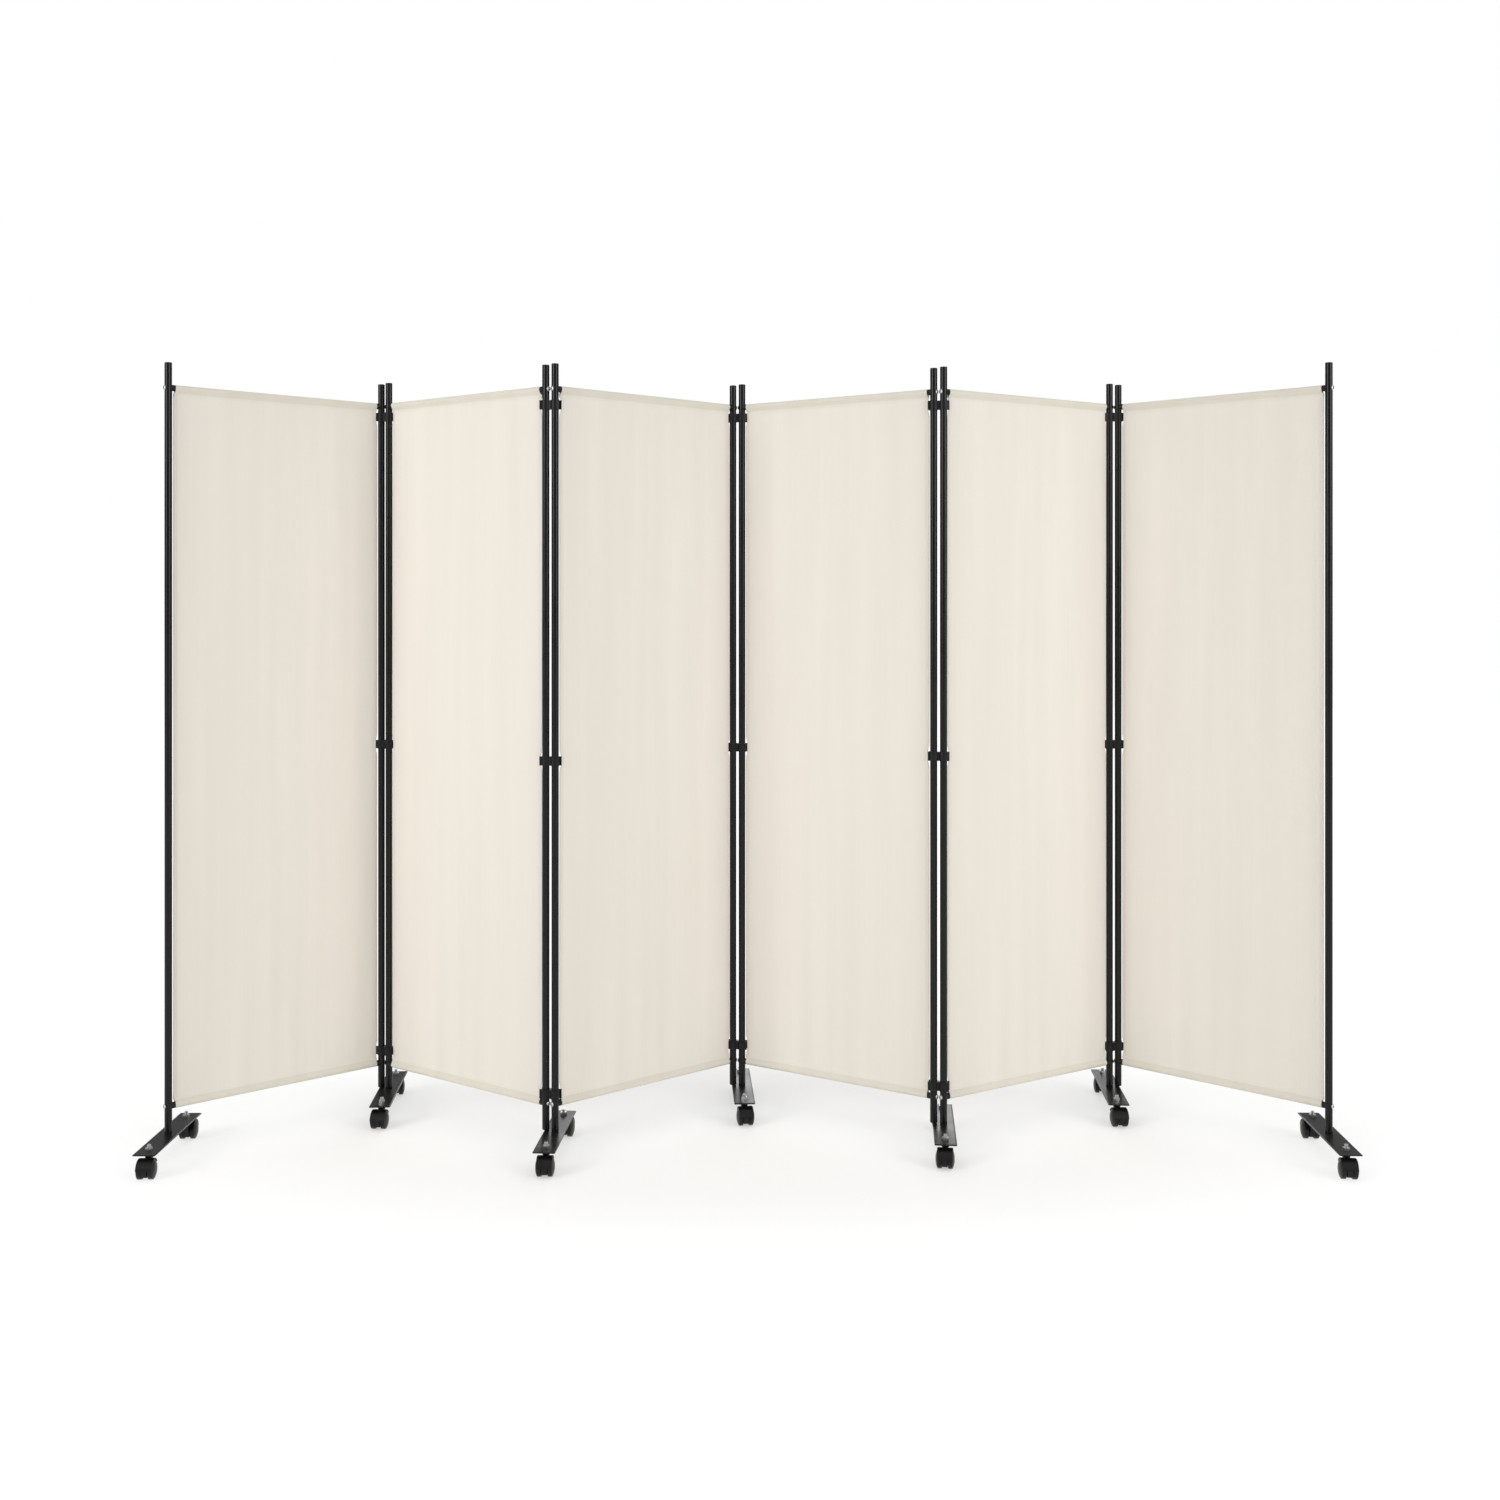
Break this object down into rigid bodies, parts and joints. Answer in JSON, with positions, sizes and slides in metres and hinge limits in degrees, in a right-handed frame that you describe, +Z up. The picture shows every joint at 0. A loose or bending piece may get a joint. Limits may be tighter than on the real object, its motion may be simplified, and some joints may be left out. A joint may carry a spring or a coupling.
{
  "type": "rolling room divider",
  "caption": "Folding room divider of cloth screens on black steel posts and rails, with swivelling feet on twin-wheel casters.",
  "frame": {"origin": "on the floor under the middle of the divider's outline, as it stands folded in a zigzag", "axes": "+X along the divider from its left end to its right end seen from the front, +Y away from the front, +Z up"},
  "size_m": [2.5846, 0.642, 1.735],
  "materials": {
    "post_paint": "semi-gloss black enamel",
    "rail_paint": "semi-gloss black enamel",
    "plate_paint": "satin black enamel",
    "cloth": "plain woven cream polyester",
    "clip_plastic": "satin black",
    "caster_nylon": "satin black",
    "wheel_nylon": "satin black"
  },
  "bodies": {
    "panel_1": {"panel_1_posts": "post_paint", "panel_1_rails": "rail_paint", "panel_1_cloth": "cloth"},
    "panel_2": {"panel_2_posts": "post_paint", "panel_2_rails": "rail_paint", "panel_2_cloth": "cloth"},
    "panel_3": {"panel_3_posts": "post_paint", "panel_3_rails": "rail_paint", "panel_3_cloth": "cloth"},
    "panel_4": {"panel_4_posts": "post_paint", "panel_4_rails": "rail_paint", "panel_4_cloth": "cloth"},
    "panel_5": {"panel_5_posts": "post_paint", "panel_5_rails": "rail_paint", "panel_5_cloth": "cloth"},
    "panel_6": {"panel_6_posts": "post_paint", "panel_6_rails": "rail_paint", "panel_6_cloth": "cloth"},
    "clips_1_2": {"clips_1_2": "clip_plastic"},
    "clips_2_3": {"clips_2_3": "clip_plastic"},
    "clips_3_4": {"clips_3_4": "clip_plastic"},
    "clips_4_5": {"clips_4_5": "clip_plastic"},
    "clips_5_6": {"clips_5_6": "clip_plastic"},
    "foot_1": {"foot_1_plate": "plate_paint"},
    "foot_1_front_hood": {"foot_1_front_hood": "caster_nylon"},
    "foot_1_front_wheels": {"foot_1_front_wheels": "wheel_nylon"},
    "foot_1_back_hood": {"foot_1_back_hood": "caster_nylon"},
    "foot_1_back_wheels": {"foot_1_back_wheels": "wheel_nylon"},
    "foot_2": {"foot_2_plate": "plate_paint"},
    "foot_2_front_hood": {"foot_2_front_hood": "caster_nylon"},
    "foot_2_front_wheels": {"foot_2_front_wheels": "wheel_nylon"},
    "foot_2_back_hood": {"foot_2_back_hood": "caster_nylon"},
    "foot_2_back_wheels": {"foot_2_back_wheels": "wheel_nylon"},
    "foot_3": {"foot_3_plate": "plate_paint"},
    "foot_3_front_hood": {"foot_3_front_hood": "caster_nylon"},
    "foot_3_front_wheels": {"foot_3_front_wheels": "wheel_nylon"},
    "foot_3_back_hood": {"foot_3_back_hood": "caster_nylon"},
    "foot_3_back_wheels": {"foot_3_back_wheels": "wheel_nylon"},
    "foot_4": {"foot_4_plate": "plate_paint"},
    "foot_4_front_hood": {"foot_4_front_hood": "caster_nylon"},
    "foot_4_front_wheels": {"foot_4_front_wheels": "wheel_nylon"},
    "foot_4_back_hood": {"foot_4_back_hood": "caster_nylon"},
    "foot_4_back_wheels": {"foot_4_back_wheels": "wheel_nylon"},
    "foot_5": {"foot_5_plate": "plate_paint"},
    "foot_5_front_hood": {"foot_5_front_hood": "caster_nylon"},
    "foot_5_front_wheels": {"foot_5_front_wheels": "wheel_nylon"},
    "foot_5_back_hood": {"foot_5_back_hood": "caster_nylon"},
    "foot_5_back_wheels": {"foot_5_back_wheels": "wheel_nylon"},
    "foot_6": {"foot_6_plate": "plate_paint"},
    "foot_6_front_hood": {"foot_6_front_hood": "caster_nylon"},
    "foot_6_front_wheels": {"foot_6_front_wheels": "wheel_nylon"},
    "foot_6_back_hood": {"foot_6_back_hood": "caster_nylon"},
    "foot_6_back_wheels": {"foot_6_back_wheels": "wheel_nylon"},
    "foot_7": {"foot_7_plate": "plate_paint"},
    "foot_7_front_hood": {"foot_7_front_hood": "caster_nylon"},
    "foot_7_front_wheels": {"foot_7_front_wheels": "wheel_nylon"},
    "foot_7_back_hood": {"foot_7_back_hood": "caster_nylon"},
    "foot_7_back_wheels": {"foot_7_back_wheels": "wheel_nylon"}
  },
  "joints": [
    {"name": "clips_3_4_on_panel_3", "type": "hinge", "parent": "panel_3", "child": "clips_3_4", "pos_m": [-0.03952, 0.17503, 0.86883], "axis": [0, 0, -1], "range_deg": [-122.5, 21.5]},
    {"name": "panel_4_in_clips_3_4", "type": "hinge", "parent": "clips_3_4", "child": "panel_4", "pos_m": [-0.01786, 0.17121, 0.86883], "axis": [0, 0, -1], "range_deg": [-94.6, 49.4]},
    {"name": "clips_4_5_on_panel_4", "type": "hinge", "parent": "panel_4", "child": "clips_4_5", "pos_m": [0.41011, -0.10249, 0.86883], "axis": [0, 0, 1], "range_deg": [-90.6, 53.4]},
    {"name": "panel_5_in_clips_4_5", "type": "hinge", "parent": "clips_4_5", "child": "panel_5", "pos_m": [0.43145, -0.10781, 0.86883], "axis": [0, 0, 1], "range_deg": [-118.1, 25.9]},
    {"name": "clips_5_6_on_panel_5", "type": "hinge", "parent": "panel_5", "child": "clips_5_6", "pos_m": [0.86179, 0.16214, 0.86883], "axis": [0, 0, -1], "range_deg": [-94.1, 49.9]},
    {"name": "panel_6_in_clips_5_6", "type": "hinge", "parent": "clips_5_6", "child": "panel_6", "pos_m": [0.88346, 0.16596, 0.86883], "axis": [0, 0, -1], "range_deg": [-123.4, 20.6]},
    {"name": "clips_2_3_on_panel_3", "type": "hinge", "parent": "panel_3", "child": "clips_2_3", "pos_m": [-0.42581, -0.15489, 0.86883], "axis": [0, 0, -1], "range_deg": [-128.5, 15.5]},
    {"name": "panel_2_in_clips_2_3", "type": "hinge", "parent": "clips_2_3", "child": "panel_2", "pos_m": [-0.44696, -0.14883, 0.86883], "axis": [0, 0, -1], "range_deg": [-91.7, 52.3]},
    {"name": "clips_1_2_on_panel_2", "type": "hinge", "parent": "panel_2", "child": "clips_1_2", "pos_m": [-0.8595, 0.14761, 0.86883], "axis": [0, 0, 1], "range_deg": [-83.7, 60.3]},
    {"name": "panel_1_in_clips_1_2", "type": "hinge", "parent": "clips_1_2", "child": "panel_1", "pos_m": [-0.87959, 0.15656, 0.86883], "axis": [0, 0, 1], "range_deg": [-136.2, 7.8]},
    {"name": "foot_1_swivel", "type": "hinge", "parent": "panel_1", "child": "foot_1", "pos_m": [-1.2676, -0.17133, 0.054], "axis": [0, 0, 1], "range_deg": [-90, 90]},
    {"name": "foot_1_front_swivel", "type": "hinge", "parent": "foot_1", "child": "foot_1_front_hood", "pos_m": [-1.26817, -0.27933, 0.046], "axis": [0, 0, 1], "continuous": true},
    {"name": "foot_1_front_spin", "type": "hinge", "parent": "foot_1_front_hood", "child": "foot_1_front_wheels", "pos_m": [-1.26701, -0.2973, 0.02], "axis": [0.9979, 0.0645, 0], "continuous": true},
    {"name": "foot_1_back_swivel", "type": "hinge", "parent": "foot_1", "child": "foot_1_back_hood", "pos_m": [-1.26704, -0.06334, 0.046], "axis": [0, 0, 1], "continuous": true},
    {"name": "foot_1_back_spin", "type": "hinge", "parent": "foot_1_back_hood", "child": "foot_1_back_wheels", "pos_m": [-1.26851, -0.0454, 0.02], "axis": [-0.9966, -0.0819, 0], "continuous": true},
    {"name": "foot_2_swivel", "type": "hinge", "parent": "panel_2", "child": "foot_2", "pos_m": [-0.8595, 0.14761, 0.054], "axis": [0, 0, 1], "range_deg": [-90, 90]},
    {"name": "foot_2_front_swivel", "type": "hinge", "parent": "foot_2", "child": "foot_2_front_hood", "pos_m": [-0.85177, 0.03989, 0.046], "axis": [0, 0, 1], "continuous": true},
    {"name": "foot_2_front_spin", "type": "hinge", "parent": "foot_2_front_hood", "child": "foot_2_front_wheels", "pos_m": [-0.85269, 0.02191, 0.02], "axis": [0.9987, -0.0506, 0], "continuous": true},
    {"name": "foot_2_back_swivel", "type": "hinge", "parent": "foot_2", "child": "foot_2_back_hood", "pos_m": [-0.86722, 0.25533, 0.046], "axis": [0, 0, 1], "continuous": true},
    {"name": "foot_2_back_spin", "type": "hinge", "parent": "foot_2_back_hood", "child": "foot_2_back_wheels", "pos_m": [-0.87038, 0.27305, 0.02], "axis": [-0.9845, -0.1754, 0], "continuous": true},
    {"name": "foot_3_swivel", "type": "hinge", "parent": "panel_3", "child": "foot_3", "pos_m": [-0.42581, -0.15489, 0.054], "axis": [0, 0, 1], "range_deg": [-90, 90]},
    {"name": "foot_3_front_swivel", "type": "hinge", "parent": "foot_3", "child": "foot_3_front_hood", "pos_m": [-0.43146, -0.26275, 0.046], "axis": [0, 0, 1], "continuous": true},
    {"name": "foot_3_front_spin", "type": "hinge", "parent": "foot_3_front_hood", "child": "foot_3_front_wheels", "pos_m": [-0.43146, -0.28075, 0.02], "axis": [1, 0, 0], "continuous": true},
    {"name": "foot_3_back_swivel", "type": "hinge", "parent": "foot_3", "child": "foot_3_back_hood", "pos_m": [-0.42016, -0.04704, 0.046], "axis": [0, 0, 1], "continuous": true},
    {"name": "foot_3_back_spin", "type": "hinge", "parent": "foot_3_back_hood", "child": "foot_3_back_wheels", "pos_m": [-0.41796, -0.02917, 0.02], "axis": [-0.9925, 0.1219, 0], "continuous": true},
    {"name": "foot_4_swivel", "type": "hinge", "parent": "panel_4", "child": "foot_4", "pos_m": [-0.01786, 0.17121, 0.054], "axis": [0, 0, 1], "range_deg": [-90, 90]},
    {"name": "foot_4_front_swivel", "type": "hinge", "parent": "foot_4", "child": "foot_4_front_hood", "pos_m": [-0.01221, 0.06335, 0.046], "axis": [0, 0, 1], "continuous": true},
    {"name": "foot_4_front_spin", "type": "hinge", "parent": "foot_4_front_hood", "child": "foot_4_front_wheels", "pos_m": [-0.00939, 0.04558, 0.02], "axis": [0.9877, 0.1564, 0], "continuous": true},
    {"name": "foot_4_back_swivel", "type": "hinge", "parent": "foot_4", "child": "foot_4_back_hood", "pos_m": [-0.02351, 0.27906, 0.046], "axis": [0, 0, 1], "continuous": true},
    {"name": "foot_4_back_spin", "type": "hinge", "parent": "foot_4_back_hood", "child": "foot_4_back_wheels", "pos_m": [-0.02194, 0.29699, 0.02], "axis": [-0.9962, 0.0872, 0], "continuous": true},
    {"name": "foot_5_swivel", "type": "hinge", "parent": "panel_5", "child": "foot_5", "pos_m": [0.43145, -0.10781, 0.054], "axis": [0, 0, 1], "range_deg": [-90, 90]},
    {"name": "foot_5_front_swivel", "type": "hinge", "parent": "foot_5", "child": "foot_5_front_hood", "pos_m": [0.42204, -0.2154, 0.046], "axis": [0, 0, 1], "continuous": true},
    {"name": "foot_5_front_spin", "type": "hinge", "parent": "foot_5_front_hood", "child": "foot_5_front_wheels", "pos_m": [0.41923, -0.23318, 0.02], "axis": [0.9877, -0.1564, 0], "continuous": true},
    {"name": "foot_5_back_swivel", "type": "hinge", "parent": "foot_5", "child": "foot_5_back_hood", "pos_m": [0.44087, -0.00022, 0.046], "axis": [0, 0, 1], "continuous": true},
    {"name": "foot_5_back_spin", "type": "hinge", "parent": "foot_5_back_hood", "child": "foot_5_back_wheels", "pos_m": [0.44024, 0.01777, 0.02], "axis": [-0.9994, -0.0349, 0], "continuous": true},
    {"name": "foot_6_swivel", "type": "hinge", "parent": "panel_5", "child": "foot_6", "pos_m": [0.86179, 0.16214, 0.054], "axis": [0, 0, 1], "range_deg": [-90, 90]},
    {"name": "foot_6_front_swivel", "type": "hinge", "parent": "foot_6", "child": "foot_6_front_hood", "pos_m": [0.85445, 0.05439, 0.046], "axis": [0, 0, 1], "continuous": true},
    {"name": "foot_6_front_spin", "type": "hinge", "parent": "foot_6_front_hood", "child": "foot_6_front_wheels", "pos_m": [0.85573, 0.03644, 0.02], "axis": [0.9974, 0.0715, 0], "continuous": true},
    {"name": "foot_6_back_swivel", "type": "hinge", "parent": "foot_6", "child": "foot_6_back_hood", "pos_m": [0.86914, 0.26989, 0.046], "axis": [0, 0, 1], "continuous": true},
    {"name": "foot_6_back_spin", "type": "hinge", "parent": "foot_6_back_hood", "child": "foot_6_back_wheels", "pos_m": [0.87192, 0.28767, 0.02], "axis": [-0.988, 0.1547, 0], "continuous": true},
    {"name": "foot_7_swivel", "type": "hinge", "parent": "panel_6", "child": "foot_7", "pos_m": [1.26451, -0.16999, 0.054], "axis": [0, 0, 1], "range_deg": [-90, 90]},
    {"name": "foot_7_front_swivel", "type": "hinge", "parent": "foot_7", "child": "foot_7_front_hood", "pos_m": [1.2615, -0.27794, 0.046], "axis": [0, 0, 1], "continuous": true},
    {"name": "foot_7_front_spin", "type": "hinge", "parent": "foot_7_front_hood", "child": "foot_7_front_wheels", "pos_m": [1.25912, -0.29579, 0.02], "axis": [0.9912, -0.1323, 0], "continuous": true},
    {"name": "foot_7_back_swivel", "type": "hinge", "parent": "foot_7", "child": "foot_7_back_hood", "pos_m": [1.26753, -0.06203, 0.046], "axis": [0, 0, 1], "continuous": true},
    {"name": "foot_7_back_spin", "type": "hinge", "parent": "foot_7_back_hood", "child": "foot_7_back_wheels", "pos_m": [1.26866, -0.04407, 0.02], "axis": [-0.998, 0.0628, 0], "continuous": true}
  ]
}
